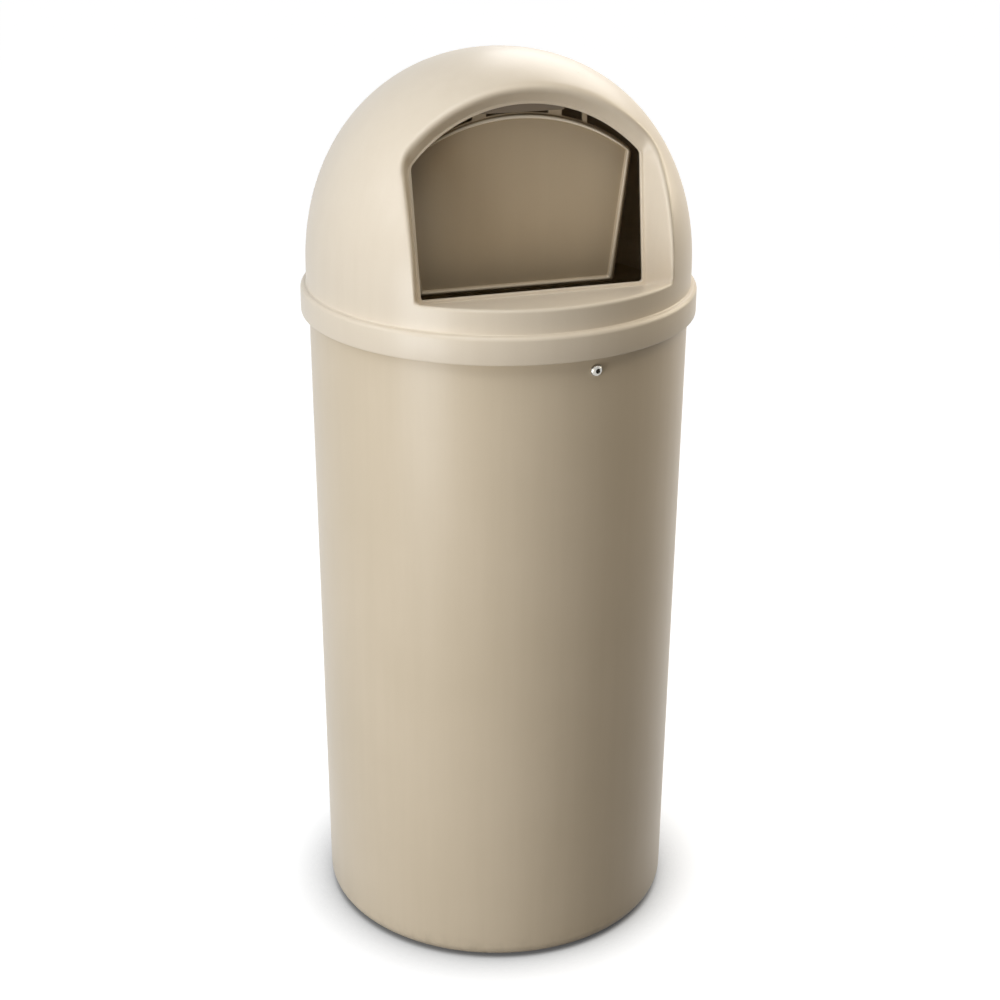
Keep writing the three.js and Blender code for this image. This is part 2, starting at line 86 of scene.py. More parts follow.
BASE_R = 0.215
WALL_R = 0.221  # outer radius of the body at the skirt's lower edge
BODY_WALL = 0.004
FOOT_ROUND = 0.018
FOOT_RING = 0.014
BASE_RISE = 0.008
RIM_ROLL = 0.0085
RIM_ROLL_ROUND = 0.0025
GAP = 0.0003
AXIS_R = 0.0001  # where a turned profile ends on its own axis

# The recess: outlines are half width at the sill, sill height, half width and height of the upper corners, peak.
OPENING = dict(sill_x=0.1295, sill_z=0.8175, top_x=0.1322, top_z=0.959, peak_z=1.0175)
RECESS = dict(sill_x=0.148, sill_z=0.828, top_x=0.148, top_z=0.9685, peak_z=1.038)
LEAN = 0.1843  # the opening's plane leans back by this much for each metre of height
PLANE_Y = -0.0993  # where it is at the height of the opening's upper corners
FLAT_RIM = 0.0035  # flat edge round the opening
RIM_ROUND = 0.0011
LIP = 0.005  # straight lip behind the opening
FUNNEL_WALL = 0.0036
EDGE_ROUND = 0.0092  # rounding of the recess's outer edge at its sides
SILL_ROUND = 0.0075  # along its sill
BROW_ROUND = 0.013  # and at the top of the brow

HINGE_Y = -0.056
HINGE_Z = 1.018
ROD_R = 0.003
ROD_X = 0.088
CLIP_R = 0.0052
CLIP_X = (0.085, 0.091)
INNER_KNUCKLE = (0.036, 0.050)
OUTER_KNUCKLE = (0.076, 0.082)
KNUCKLE_R = 0.007
BUSH_R = 0.0046
FLANGE_R = 0.0064
FLANGE = 0.0014
LUG = (0.0545, 0.0715)
LUG_R = 0.008

DOOR_Y = -0.063  # front face of the door
DOOR_PLATE = 0.003
BEAD = dict(sill_x=0.1135, sill_z=0.8074, top_x=0.1318, top_z=0.9545, peak_z=0.9995)
DOOR_MARGIN = 0.0045
DOOR_ROUND = 0.003
DOOR_SHOULDER = 0.003  # rounding where its sides meet the arch
BEAD_HALF = 0.0022
BEAD_RISE = 0.004
TAB_EDGE = 0.052  # outer side of the inner tabs
NECK_Z = 1.010  # where the door's tabs turn into the knuckles' necks

RIB_Y = (-0.072, -0.0694)
RIB_X = 0.0515
RIB_Z = 1.0055
PAD_R = 0.004
PAD_X = 0.043
PAD_Z = 1.011

WIRE_R = 0.0009
COIL_R = 0.0055
COIL_TURNS = 7
COIL_PITCH = 0.0026
LEG_RISE = 0.014
LEG_BEND = 0.0025

SCREW_TURNS = dict(front=10.4, rear=190.4)
SCREW_Z = 0.7517
SCREW_R = 0.004
SCREW_TIP = 0.2015
HEAD_R = 0.007
HEAD_RISE = 0.0044
SOCKET_R = 0.0029
SOCKET_DEPTH = 0.0026
HOLE_R = 0.0045
TAB_Z = 0.738
TAB_HALF = 0.023
TAB_WALL = 0.0033
WASHER_R = 0.008
WASHER_WALL = 0.0016
NUT_R = 0.0075
NUT_WALL = 0.0065

# ---------------------------------------------------------------- meshes


def smoothed(edge0, edge1, value):
    share = np.clip((value - edge0) / (edge1 - edge0), 0.0, 1.0)
    return share * share * (3 - 2 * share)


def make_object(name, verts, faces, material):
    mesh = bpy.data.meshes.new(name)
    mesh.from_pydata([tuple(map(float, v)) for v in verts], [], [tuple(map(int, f)) for f in faces])
    mesh.validate()
    mesh.polygons.foreach_set("use_smooth", [True] * len(mesh.polygons))
    mesh.materials.append(material)
    piece = bpy.data.objects.new(name, mesh)
    bpy.context.scene.collection.objects.link(piece)
    return piece


def ring_faces(rings, count, loop):
    """Quads between neighbouring rings of equal length."""
    r = np.arange(rings if loop else rings - 1)[:, None]
    i = np.arange(count)[None, :]
    near = r * count
    far = ((r + 1) % rings) * count
    after = (i + 1) % count
    return np.stack([near + i, near + after, far + after, far + i], axis=-1).reshape(-1, 4)


def encloses(verts, faces):
    """Six times the signed volume inside a closed surface; negative when its faces look inwards."""
    total = 0.0
    for face in faces:
        fan = verts[face]
        total += np.einsum("ij,ij->", np.cross(fan[1:-1], fan[2:]), np.broadcast_to(fan[0], fan[2:].shape))
    return total


class Shell:
    """Gathers several closed surfaces into one mesh, each with its faces looking out."""

    def __init__(self):
        self.verts = []
        self.faces = []

    def rings(self, rings, loop=False):
        """A stack of rings; without a loop both ends are closed by a face."""
        rings = np.asarray(rings, dtype=float)
        start, count = len(self.verts), rings.shape[1]
        faces = ring_faces(len(rings), count, loop).tolist()
        if not loop:
            last = (len(rings) - 1) * count
            faces.append(list(range(count - 1, -1, -1)))
            faces.append(list(range(last, last + count)))
        verts = rings.reshape(-1, 3)
        if encloses(verts, faces) < 0:
            faces = [face[::-1] for face in faces]
        self.verts.extend(verts)
        self.faces.extend([[start + i for i in face] for face in faces])
        return self

    def build(self, name, material):
        return make_object(name, self.verts, self.faces, material)


def arc(centre, radius, start, end, steps):
    """Points on an arc in the (radius, height) plane, between two angles in degrees."""
    turn = np.radians(np.linspace(start, end, steps + 1))
    return [(centre[0] + radius * math.cos(t), centre[1] + radius * math.sin(t)) for t in turn]


def revolved(section, steps=192):
    """Rings about the Z axis, one for each point of the section."""
    turn = np.arange(steps) * 2 * math.pi / steps
    section = np.asarray(section, dtype=float)
    out = np.zeros((len(section), steps, 3))
    out[:, :, 0] = section[:, :1] * np.cos(turn)
    out[:, :, 1] = section[:, :1] * np.sin(turn)
    out[:, :, 2] = section[:, 1:2]
    return out


# ---------------------------------------------------------------- arched outlines

CORNER = 0.004  # rounding of an outline's corners
SILL_POINTS = 40
SIDE_POINTS = 26
CORNER_POINTS = 8
ARCH_POINTS = 70


def bent(start, corner, end, steps):
    """A corner rounded by a quadratic curve."""
    t = (np.arange(1, steps + 1) / steps)[:, None]
    start, corner, end = map(np.asarray, (start, corner, end))
    return (1 - t) ** 2 * start + 2 * t * (1 - t) * corner + t**2 * end


def arched(sill_x, sill_z, top_x, top_z, peak_z, grow=0.0, round_sill=CORNER, round_top=CORNER):
    """An arched outline as (x, z) points, counterclockwise from the middle of the sill, moved out by grow."""
    sill = np.array([sill_x + grow, sill_z - grow])
    top = np.array([top_x + grow, top_z])
    rise = peak_z + grow - top[1]
    radius = (top[0] ** 2 + rise**2) / (2 * rise)
    half = math.asin(top[0] / radius)
    side = (top - sill) / np.linalg.norm(top - sill)

    def on_arch(angle):
        return np.stack([radius * np.sin(angle), peak_z + grow - radius + radius * np.cos(angle)], axis=-1)

    sill_end = sill - (round_sill, 0)
    side_start, side_end = sill + side * round_sill, top - side * round_top
    arch_start = half - round_top / radius
    steps = np.arange(1, SIDE_POINTS + 1)[:, None] / SIDE_POINTS
    right = np.concatenate(
        [
            np.linspace((0, sill[1]), sill_end, SILL_POINTS + 1),
            bent(sill_end, sill, side_start, CORNER_POINTS),
            side_start + (side_end - side_start) * steps,
            bent(side_end, top, on_arch(arch_start), CORNER_POINTS),
            on_arch(arch_start * (1 - np.arange(1, ARCH_POINTS + 1) / ARCH_POINTS)),
        ]
    )
    left = right[1:-1][::-1] * (-1, 1)
    return np.concatenate([right, left])


# ---------------------------------------------------------------- dome

angles = np.linspace(0, math.pi / 2, 4001)
section_r = DOME_R * np.cos(angles) ** (2 / DOME_POWER)
section_z = DOME_Z + (HEIGHT - DOME_Z) * np.sin(angles) ** (2 / DOME_POWER)
section_r[-1] = 0.0
steps_along = np.hypot(np.diff(section_r), np.diff(section_z))
way_up = np.concatenate([[0.0], np.cumsum(steps_along)])
DOME_LENGTH = way_up[-1]


def dome_point(disc):
    """The dome laid out flat on a disc: the middle is the top, the edge is the spring line."""
    reach = np.hypot(disc[..., 0], disc[..., 1])
    along = (1 - reach) * DOME_LENGTH
    r = np.interp(along, way_up, section_r)
    z = np.interp(along, way_up, section_z)
    turn = np.arctan2(disc[..., 1], disc[..., 0])
    return np.stack([r * np.cos(turn), r * np.sin(turn), z], axis=-1)


def on_disc(points):
    """The place on the disc of points on the dome."""
    reach = 1 - np.interp(points[:, 2], section_z, way_up) / DOME_LENGTH
    turn = np.arctan2(points[:, 1], points[:, 0])
    return np.stack([reach * np.cos(turn), reach * np.sin(turn)], axis=-1)


def on_dome(outline):
    """An outline drawn in (x, z), laid on the dome's front."""
    r = np.interp(outline[:, 1], section_z, section_r)
    r = np.where(outline[:, 1] < DOME_Z, DOME_R, r)
    y = -np.sqrt(r**2 - outline[:, 0] ** 2)
    return np.stack([outline[:, 0], y, outline[:, 1]], axis=-1)


def on_plane(outline, depth=0.0):
    """An outline drawn in (x, z), laid on the opening's leaning plane or that far behind it."""
    y = PLANE_Y + LEAN * (outline[:, 1] - OPENING["top_z"]) + depth
    return np.stack([outline[:, 0], y, outline[:, 1]], axis=-1)


def curve3(a, b, c, steps):
    """Rings along quadratic curves from ring a to ring c, bent towards ring b."""
    t = (np.arange(1, steps + 1) / steps)[:, None, None]
    return list((1 - t) ** 2 * a + 2 * t * (1 - t) * b + t**2 * c)


def unit(vectors):
    return vectors / np.linalg.norm(vectors, axis=-1, keepdims=True)


def recess_edge_round(edge):
    """Radius of the recess's outer edge: tight along the sill, wider at the sides and widest over the brow."""
    side = smoothed(RECESS["sill_z"], RECESS["sill_z"] + 0.03, edge[:, 2])
    brow = smoothed(RECESS["top_z"] + 0.004, RECESS["peak_z"] - 0.012, edge[:, 2])
    return SILL_ROUND + (EDGE_ROUND - SILL_ROUND) * side + (BROW_ROUND - EDGE_ROUND) * brow


def to_circle(disc, centre):
    """Where rays from a point inside the disc through each given point meet the disc's edge."""
    way = unit(disc - centre)
    b = way @ centre
    reach = -b + np.sqrt(b**2 - centre @ centre + 1)
    return centre + way * reach[:, None]


def dome_outside():
    """Rings from the back of the lip, over the funnel and its rounded edge, out over the dome to its spring line."""
    opening = arched(**OPENING)
    near_rim = arched(**OPENING, grow=RIM_ROUND)
    rim = arched(**OPENING, grow=FLAT_RIM)
    edge = on_dome(arched(**RECESS, round_sill=0.006, round_top=0.02))
    rim_3d = on_plane(rim)
    into = unit(rim_3d - edge)
    radius = recess_edge_round(edge)[:, None]
    disc = on_disc(edge)
    centre = np.array([0.0, disc[:, 1].mean()])
    border = to_circle(disc, centre)
    step = 1e-3
    speed = np.linalg.norm(dome_point(disc + (border - disc) * step) - edge, axis=-1) / step
    start_share = np.minimum(radius[:, 0] / speed, 0.5)[:, None]
    soft_start = edge + into * np.minimum(radius, 0.45 * np.linalg.norm(rim_3d - edge, axis=-1)[:, None])
    soft_end = dome_point(disc + (border - disc) * start_share)

    rings = [on_plane(opening, LIP - 0.0006), on_plane(opening, LIP * 0.5), on_plane(opening, RIM_ROUND)]
    rings += curve3(rings[-1], on_plane(opening), on_plane(near_rim), 3)
    rim_inner = rim_3d - unit(rim_3d - on_plane(opening)) * 0.0008
    rim_outer = rim_3d - into * 0.0008
    rings += [rim_inner] + curve3(rim_inner, rim_3d, rim_outer, 3)
    rings += [rim_outer + (soft_start - rim_outer) * t for t in (0.2, 0.4, 0.6, 0.8, 1.0)]
    rings += curve3(soft_start, edge, soft_end, 9)
    for t in np.linspace(0, 1, 53)[1:]:
        share = start_share + (1 - start_share) * t
        rings.append(dome_point(disc + (border - disc) * share))
    return rings


def grid_normals(rings):
    """Outward normals of a stack of rings."""
    rings = np.asarray(rings)
    around = np.roll(rings, -1, axis=1) - np.roll(rings, 1, axis=1)
    along = np.gradient(rings, axis=0)
    return unit(np.cross(along, around))


def lid_skin():
    """The whole lid as one closed stack of rings: outside, ledge, skirt, spigot, inside and back to the lip."""
    outside = dome_outside()
    spring = outside[-1]
    turn = spring / DOME_R
    turn[:, 2] = 0.0

    def level(r, z):
        ring = turn * r
        ring[:, 2] = z
        return ring

    skirt_in = SKIRT_R - SKIRT_WALL
    spigot_in = SPIGOT_R - SPIGOT_WALL
    under = LEDGE_Z - LEDGE_WALL
    fillet = (DOME_R + LEDGE_FILLET, LEDGE_Z + LEDGE_FILLET)
    shoulder = (SKIRT_R - LEDGE_ROUND, LEDGE_Z - LEDGE_ROUND)
    hem = (SKIRT_R - SKIRT_ROUND, SKIRT_Z + SKIRT_ROUND)
    hem_in = (skirt_in + SKIRT_ROUND, SKIRT_Z + SKIRT_ROUND)
    section = [
        (DOME_R, DOME_Z - 0.006),
        *arc(fillet, LEDGE_FILLET, 180, 270, 5),
        *arc(shoulder, LEDGE_ROUND, 90, 0, 8),
        (SKIRT_R, 0.5 * (LEDGE_Z + SKIRT_Z)),
        *arc(hem, SKIRT_ROUND, 0, -90, 4),
        *arc(hem_in, SKIRT_ROUND, -90, -180, 4),
        (skirt_in, under - 0.0005),
        (skirt_in - 0.0005, under),
        (SPIGOT_R + 0.0005, under),
        (SPIGOT_R, under - 0.0005),
        *arc((SPIGOT_R - 0.0008, SPIGOT_Z + 0.0008), 0.0008, 0, -90, 2),
        *arc((spigot_in + 0.0008, SPIGOT_Z + 0.0008), 0.0008, -90, -180, 2),
        (spigot_in, LEDGE_Z - 0.006),
        (spigot_in + 0.003, LEDGE_Z - 0.001),
        (DOME_R - DOME_WALL - 0.002, LEDGE_Z + 0.003),
        (DOME_R - DOME_WALL, LEDGE_Z + 0.008),
    ]
    rim_ring = 12  # the ring at which the funnel leaves the flat rim
    skinned = outside[rim_ring:]
    normals = grid_normals(outside)[rim_ring:]
    funnel_rings = 14
    wall = np.full(len(skinned), DOME_WALL)
    wall[:funnel_rings] = FUNNEL_WALL
    inside = [ring - n * w for ring, n, w in zip(skinned, normals, wall)][::-2]
    opening_back = arched(**OPENING, grow=FUNNEL_WALL)
    lip_back = [on_plane(opening_back, LIP - 0.0006), on_plane(arched(**OPENING, grow=FUNNEL_WALL - 0.0006), LIP)]
    lip_edge = [on_plane(arched(**OPENING, grow=0.0006), LIP)]
    return outside + [level(r, z) for r, z in section] + inside + lip_back + lip_edge


# ---------------------------------------------------------------- materials


class Value:
    """A node's output that can be calculated with."""

    def __init__(self, graph, socket):
        self.graph = graph
        self.socket = socket

    def _math(self, operation, other, swapped=False):
        a, b = (other, self) if swapped else (self, other)
        return self.graph.node("ShaderNodeMath", {"operation": operation}, {0: a, 1: b})

    def __add__(self, other):
        return self._math("ADD", other)

    def __mul__(self, other):
        return self._math("MULTIPLY", other)

    def __sub__(self, other):
        return self._math("SUBTRACT", other)

    def __rsub__(self, other):
        return self._math("SUBTRACT", other, swapped=True)

    __radd__ = __add__
    __rmul__ = __mul__

    def either(self, other):
        return self._math("MAXIMUM", other)

    def spread(self, low, high):
        """0 up to low, 1 from high on, smooth between them."""
        limits = {"From Min": low, "From Max": high}
        return self.graph.node("ShaderNodeMapRange", {"interpolation_type": "SMOOTHSTEP"}, {"Value": self, **limits})


class Graph:
    """The nodes of a material or of the world."""

    def __init__(self, tree):
        self.tree = tree

    def node(self, kind, settings=None, inputs=None, output=0):
        made = self.tree.nodes.new(kind)
        for key, value in (settings or {}).items():
            setattr(made, key, value)
        for key, value in (inputs or {}).items():
            if isinstance(value, Value):
                self.tree.links.new(value.socket, made.inputs[key])
            else:
                made.inputs[key].default_value = value
        return Value(self, made.outputs[output]) if made.outputs else None

    def mixed(self, share, first, second):
        settings = {"data_type": "RGBA", "blend_type": "MIX"}
        inputs = {0: share, 6: first, 7: second}
        return self.node("ShaderNodeMix", settings, inputs, output=2)

    def seen(self):
        """1 where the surface is looked at, also in a mirror or through glass, and 0 where it only gives light."""
        kinds = ("Is Camera Ray", "Is Glossy Ray", "Is Transmission Ray")
        camera_ray, mirrored_ray, glass_ray = (self.node("ShaderNodeLightPath", output=kind) for kind in kinds)
        return camera_ray.either(mirrored_ray).either(glass_ray)


class Finish(Graph):
    """A material with one principled shader; constants go straight onto its sockets."""

    def __init__(self, name, **constants):
        self.material = bpy.data.materials.new(name)
        self.material.use_nodes = True
        super().__init__(self.material.node_tree)
        self.shader = self.tree.nodes["Principled BSDF"]
        for socket, value in constants.items():
            self.shader.inputs[socket.replace("_", " ")].default_value = value
        self.place = self.node("ShaderNodeTexCoord", output="Object")

    def noise(self, scale, detail=2.0, roughness=0.5, place=None):
        inputs = {"Vector": place or self.place, "Scale": scale, "Detail": detail, "Roughness": roughness}
        return self.node("ShaderNodeTexNoise", inputs=inputs)

    def stretched(self, x, y, z):
        """The place with each direction scaled, for marks that run one way."""
        return self.vector("MULTIPLY", self.place, (x, y, z))

    def vector(self, operation, first, second):
        return self.node("ShaderNodeVectorMath", {"operation": operation}, {0: first, 1: second})

    def along(self, axis):
        return self.node("ShaderNodeSeparateXYZ", inputs={0: self.place}, output=axis)

    def bump(self, height, distance, strength=1.0, onto=None):
        inputs = {"Height": height, "Distance": distance, "Strength": strength}
        if onto is not None:
            inputs["Normal"] = onto
        return self.node("ShaderNodeBump", inputs=inputs)

    def set(self, **sockets):
        for socket, value in sockets.items():
            self.tree.links.new(value.socket, self.shader.inputs[socket.replace("_", " ")])
        return self.material


def linear(red, green, blue):
    """A colour read from the picture, as the shader wants it."""

    def one(c):
        c /= 255
        return c / 12.92 if c <= 0.04045 else ((c + 0.055) / 1.055) ** 2.4

    return (one(red), one(green), one(blue), 1.0)


SATIN = 0.34  # middle roughness of the moulded plastic


def painted_hinge_shade(finish):
    """Painted shade over the stop rib and the lugs, behind the opening's plane and under the dome."""
    x, y, z = (finish.along(axis) for axis in "XYZ")
    behind = (y - LEAN * (z - OPENING["top_z"]) - PLANE_Y).spread(0.006, 0.009) * (1 - y.spread(-0.05, -0.04))
    beside = 1 - (x * x).spread(0.076**2, 0.08**2)
    return behind * beside * z.spread(0.98, 0.984) * (1 - z.spread(1.02, 1.026)) * 0.8


def painted_bead_highlight(finish):
    """Painted highlight on the crown of the door's bead, strongest along the arch."""
    proud = DOOR_Y - finish.along("Y")
    return proud.spread(0.0014, 0.0034) * (0.25 + 0.65 * finish.along("Z").spread(0.95, 0.975))


def moulded_plastic(name, pale, deep, where=None, tint=None):
    """Moulded plastic: cloudy colour, a fine cast grain, long faint flow marks and a satin skin."""
    finish = Finish(name, IOR=1.46, Specular_IOR_Level=0.42, Coat_Roughness=0.3)
    cloud = finish.noise(5.0, 3.0)
    flow = finish.noise(1.0, 4.0, 0.6, finish.stretched(55, 55, 3.5))
    fleck = finish.noise(1500.0, 1.0)
    tone = 0.55 * cloud + 0.25 * flow + 0.2 * fleck
    colour = finish.mixed(tone.spread(0.3, 0.7), pale, deep)
    grime = 1 - finish.along("Z").spread(0.0, 0.035)
    dusty = grime * finish.noise(60.0, 4.0, 0.65).spread(0.35, 0.8) * 0.35
    colour = finish.mixed(dusty, colour, linear(148, 132, 108))
    # where given, a tint laid over a mask: the lid's painted shade and the door's painted highlight
    if where:
        colour = finish.mixed(where(finish), colour, tint)
    grain = finish.noise(900.0, 2.0, 0.55)
    ripple = finish.noise(38.0, 2.0, 0.4)
    scuff = finish.noise(1.0, 5.0, 0.7, finish.stretched(90, 90, 420)).spread(0.66, 0.78)
    rough = SATIN + 0.1 * (grain - 0.5) + 0.05 * (cloud - 0.5) + 0.07 * scuff
    skin = finish.bump(grain, 0.00006, 0.75, finish.bump(ripple, 0.0009, 0.12))
    return finish.set(Base_Color=colour, Roughness=rough, Normal=skin)


def plated_steel(name, tint, socket=False):
    """Bright plating with a faint cloud, fine turning marks and dulled spots; a socket is painted near black, as
    painted shade inside its hollow.
    """
    finish = Finish(name, Metallic=1.0)
    cloud = finish.noise(260.0, 3.0)
    marks = finish.noise(1.0, 2.0, 0.5, finish.stretched(500, 500, 4200))
    spots = finish.noise(1900.0, 2.0).spread(0.6, 0.75)
    colour = finish.mixed(0.6 * cloud + 0.4 * spots, tint, tuple(0.72 * c for c in tint[:3]) + (1.0,))
    # painted shade: the hex socket is coloured near black where its hollow lies in shade
    if socket:
        turn = math.radians(SCREW_TURNS["front"])
        from_axis = finish.vector("SUBTRACT", finish.place, (0.0, 0.0, SCREW_Z))
        away = finish.vector("CROSS_PRODUCT", from_axis, (math.sin(turn), -math.cos(turn), 0.0))
        rim = finish.node("ShaderNodeVectorMath", {"operation": "LENGTH"}, {0: away}, output="Value")
        colour = finish.mixed(rim.spread(SOCKET_R - 0.0004, SOCKET_R + 0.0002), linear(44, 40, 34), colour)
    skin = finish.bump(marks, 0.00002, 0.6)
    return finish.set(Base_Color=colour, Roughness=0.24 + 0.18 * cloud * cloud + 0.1 * spots, Normal=skin)


def drawn_wire(name):
    """Oiled spring wire with drawing lines and a brown bloom."""
    finish = Finish(name, Metallic=1.0)
    bloom = finish.noise(420.0, 4.0, 0.6).spread(0.45, 0.75)
    lines = finish.noise(1.0, 2.0, 0.5, finish.stretched(3800, 900, 900))
    colour = finish.mixed(bloom, linear(150, 150, 152), linear(104, 92, 80))
    return finish.set(Base_Color=colour, Roughness=0.3 + 0.22 * bloom, Normal=finish.bump(lines, 0.00002, 0.7))


def natural_nylon(name):
    """Milky nylon, a little see-through at its edges, with a faint mould grain."""
    finish = Finish(name, Subsurface_Weight=0.25, Subsurface_Scale=0.002, IOR=1.53)
    milk = finish.noise(320.0, 3.0)
    colour = finish.mixed(milk.spread(0.3, 0.7), linear(236, 232, 220), linear(222, 216, 198))
    return finish.set(Base_Color=colour, Roughness=0.36 + 0.16 * milk, Normal=finish.bump(milk, 0.00003, 0.5))


def pad_rubber(name):
    """Dull moulded rubber with dust in its grain."""
    finish = Finish(name, IOR=1.5, Specular_IOR_Level=0.3)
    dust = finish.noise(700.0, 5.0, 0.7).spread(0.5, 0.8)
    colour = finish.mixed(dust * 0.5, linear(26, 26, 27), linear(86, 82, 74))
    return finish.set(Base_Color=colour, Roughness=0.72 + 0.2 * dust, Normal=finish.bump(dust, 0.00004, 0.8))


# ---------------------------------------------------------------- lid: what hangs inside the dome


def dome_height(x, y):
    """Height of the dome's outside over a place on the floor plan."""
    return np.interp(np.hypot(x, y), section_r[::-1], section_z[::-1])


ROOT = 0.002  # how far below the dome's outside the hanging parts are rooted


def stop_rib():
    """A plate with rounded ends and lower edge, its top following the dome."""
    ends = [(0.0, 0.0007), (0.0003, 0.0002), (0.0009, 0.0)]
    stations = [(-RIB_X + along, inset) for along, inset in ends]
    stations += [(x, 0.0) for x in np.linspace(-RIB_X + 0.002, RIB_X - 0.002, 40)]
    stations += [(RIB_X - along, inset) for along, inset in ends[::-1]]
    rings = []
    for x, inset in stations:
        front, back = RIB_Y[0] + inset, RIB_Y[1] - inset
        r = (back - front) / 2.2
        low = arc((front + r, RIB_Z + inset + r), r, 180, 270, 4) + arc((back - r, RIB_Z + inset + r), r, 270, 360, 4)
        top = [(back, dome_height(x, back) - ROOT), (front, dome_height(x, front) - ROOT)]
        rings.append([(x, y, z) for y, z in low + top])
    return rings


def hinge_lug(side):
    """A hanging lug, round at the foot and bored for the rod, its top following the dome."""
    turn = np.arange(64) * 2 * math.pi / 64

    def around(radius, x, inset):
        y, z = np.cos(turn), np.sin(turn)
        if radius is not None:
            reach = np.full(64, radius)
        else:
            half = LUG_R - inset
            top = dome_height(x, HINGE_Y) - ROOT - HINGE_Z
            to_side = half / np.maximum(np.abs(y), 1e-6)
            reach = np.where(z > 0, np.minimum(to_side, top / np.maximum(z, 1e-6)), half)
        return np.stack([np.full(64, x), HINGE_Y + reach * y, HINGE_Z + reach * z], axis=-1)

    bore = ROD_R + GAP
    bevel = 0.0006
    near, far = side * LUG[0], side * LUG[1]
    inward = side * bevel
    return [
        around(bore, near + inward / 2, 0),
        around(bore + bevel / 2, near, 0),
        around(None, near, bevel),
        around(None, near + inward / 3, bevel / 4),
        around(None, near + inward, 0),
        around(None, far - inward, 0),
        around(None, far - inward / 3, bevel / 4),
        around(None, far, bevel),
        around(bore + bevel / 2, far, 0),
        around(bore, far - inward / 2, 0),
    ]


def slotted_tab(degrees):
    """A tab below the spigot; its slot is open at the bottom, so the lid lifts off loosened screws."""
    outer = BASE_R + (WALL_R - BASE_R) * TAB_Z / SKIRT_Z - BODY_WALL - 2 * GAP
    inner = outer - TAB_WALL
    top = SPIGOT_Z + BODY_WALL
    corner = 0.006
    steps = 14

    def spread(points, count):
        points = np.asarray(points)
        way = np.concatenate([[0], np.cumsum(np.linalg.norm(np.diff(points, axis=0), axis=1))])
        at = np.linspace(0, way[-1], count)
        return np.stack([np.interp(at, way, points[:, k]) for k in (0, 1)], axis=-1)

    slot = spread([(HOLE_R, TAB_Z), *arc((0, SCREW_Z), HOLE_R, 0, 180, 40), (-HOLE_R, TAB_Z)], 81)
    edge = spread(
        [
            (TAB_HALF, TAB_Z),
            *arc((TAB_HALF - corner, top - corner), corner, 0, 90, 8),
            *arc((-TAB_HALF + corner, top - corner), corner, 90, 180, 8),
            (-TAB_HALF, TAB_Z),
        ],
        81,
    )
    across = np.linspace(0, 1, steps)
    soft = 0.0008
    turn = math.radians(degrees)
    rings = []
    for a, b in zip(slot, edge):
        line = a + (b - a) * across[:, None]
        margin = np.minimum(np.linalg.norm(line - a, axis=1), np.linalg.norm(line - b, axis=1))
        rounding = soft * (1 - np.sqrt(np.clip(1 - (1 - np.clip(margin / soft, 0, 1)) ** 2, 0, 1)))
        ring = [(u, z, inner + r) for (u, z), r in zip(line, rounding)]
        ring += [(u, z, outer - r) for (u, z), r in zip(line[::-1], rounding[::-1])]
        u, z, r = np.array(ring).T
        at = turn + u / outer
        rings.append(np.stack([r * np.sin(at), -r * np.cos(at), z], axis=-1))
    return rings


# ---------------------------------------------------------------- bin body


def body_section():
    """Raised base, foot ring, rounded lower edge, tapered wall, rolled rim, and back down the inside."""
    foot_r = BASE_R - FOOT_ROUND
    floor_z = BASE_RISE + BODY_WALL
    floor_round = FOOT_ROUND - BODY_WALL
    rim_z = LEDGE_Z - LEDGE_WALL - GAP
    rim_r = SKIRT_R - SKIRT_WALL - 2 * GAP
    neck_z = rim_z - RIM_ROLL
    ring_in = foot_r - FOOT_RING

    def wall(z, inset=0.0):
        return (BASE_R + (WALL_R - BASE_R) * z / SKIRT_Z - inset, z)

    levels = [*np.linspace(0.03, 0.72, 24), *(SCREW_Z + np.linspace(-0.012, 0.012, 9)), 0.774]
    roll = rim_r - RIM_ROLL_ROUND
    inner_rim = wall(rim_z, BODY_WALL)[0]
    return [
        (0.0005, BASE_RISE),
        (0.09, BASE_RISE),
        *arc((ring_in - BASE_RISE - 0.003, BASE_RISE - 0.003), 0.003, 90, 50, 3),
        *arc((ring_in + 0.0015, 0.0015), 0.0015, 220, 270, 3),
        *arc((foot_r, FOOT_ROUND), FOOT_ROUND, -90, 0, 18),
        *[wall(z) for z in levels],
        wall(neck_z - 0.003),
        (wall(neck_z)[0] + 0.0008, neck_z - 0.0008),
        (roll - 0.0008, neck_z),
        *arc((roll, neck_z + RIM_ROLL_ROUND), RIM_ROLL_ROUND, -90, 0, 6),
        *arc((roll, rim_z - RIM_ROLL_ROUND), RIM_ROLL_ROUND, 0, 90, 6),
        *arc((inner_rim + 0.0012, rim_z - 0.0012), 0.0012, 90, 180, 3),
        *[wall(z, BODY_WALL) for z in levels[::-1]],
        *arc((BASE_R - BODY_WALL - floor_round, floor_z + floor_round), floor_round, 0, -90, 12),
        (0.09, floor_z),
        (0.0005, floor_z),
    ]


def cut_holes(piece, tools):
    """Cuts the tools out of a piece and keeps the new edges crisp."""
    for tool in tools:
        cutter = piece.modifiers.new("hole", "BOOLEAN")
        cutter.operation = "DIFFERENCE"
        cutter.solver = "EXACT"
        cutter.object = tool
    shaped = piece.evaluated_get(bpy.context.evaluated_depsgraph_get())
    mesh = bpy.data.meshes.new_from_object(shaped)
    mesh.set_sharp_from_angle(angle=math.radians(50))
    piece.modifiers.clear()
    piece.data = mesh
    for tool in tools:
        bpy.data.objects.remove(tool)
    return piece


# ---------------------------------------------------------------- turned parts

HINGE_AXIS = ((0.0, HINGE_Y, HINGE_Z), (1.0, 0.0, 0.0))


def screw_axis(degrees):
    turn = math.radians(degrees)
    return ((0.0, 0.0, SCREW_Z), (math.sin(turn), -math.cos(turn), 0.0))


